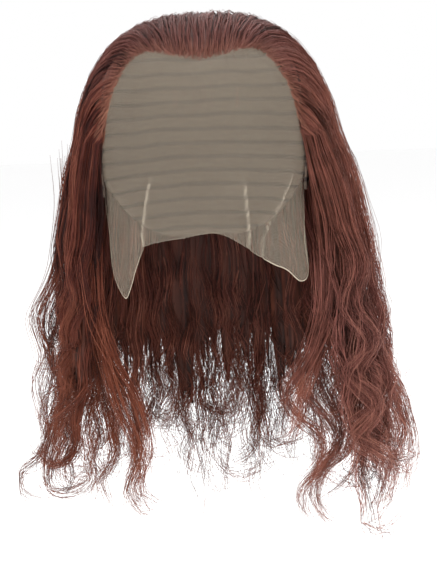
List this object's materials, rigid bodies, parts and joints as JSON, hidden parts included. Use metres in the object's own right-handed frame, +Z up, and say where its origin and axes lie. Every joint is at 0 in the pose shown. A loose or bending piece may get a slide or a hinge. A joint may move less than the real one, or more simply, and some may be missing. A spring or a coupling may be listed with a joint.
{
  "type": "lace front wig",
  "caption": "Long, lightly waved wig swept back from the face: net cap, sheer lace front with its uncut edge, and hair in crown, front, side and back sections.",
  "frame": {"origin": "inside of the cap at the crown, where the wearer's head carries the wig", "axes": "+Z up, the face side towards -Y, +X to the right of a viewer who looks at the face"},
  "size_m": [0.2783, 0.2172, 0.4049],
  "materials": {
    "cap_net": "matt brown stretch net",
    "lace": "sheer beige lace",
    "crown_hair": "glossy auburn hair",
    "front_hair": "glossy auburn hair",
    "left_side_hair": "satin auburn hair",
    "left_back_hair": "satin dark auburn hair",
    "right_back_hair": "satin dark auburn hair",
    "right_side_hair": "satin copper auburn hair"
  },
  "bodies": {
    "root": {"cap": "cap_net", "lace_front": "lace", "crown_hair": "crown_hair", "front_hair": "front_hair", "left_side_hair": "left_side_hair", "left_back_hair": "left_back_hair", "right_back_hair": "right_back_hair", "right_side_hair": "right_side_hair"}
  },
  "joints": []
}
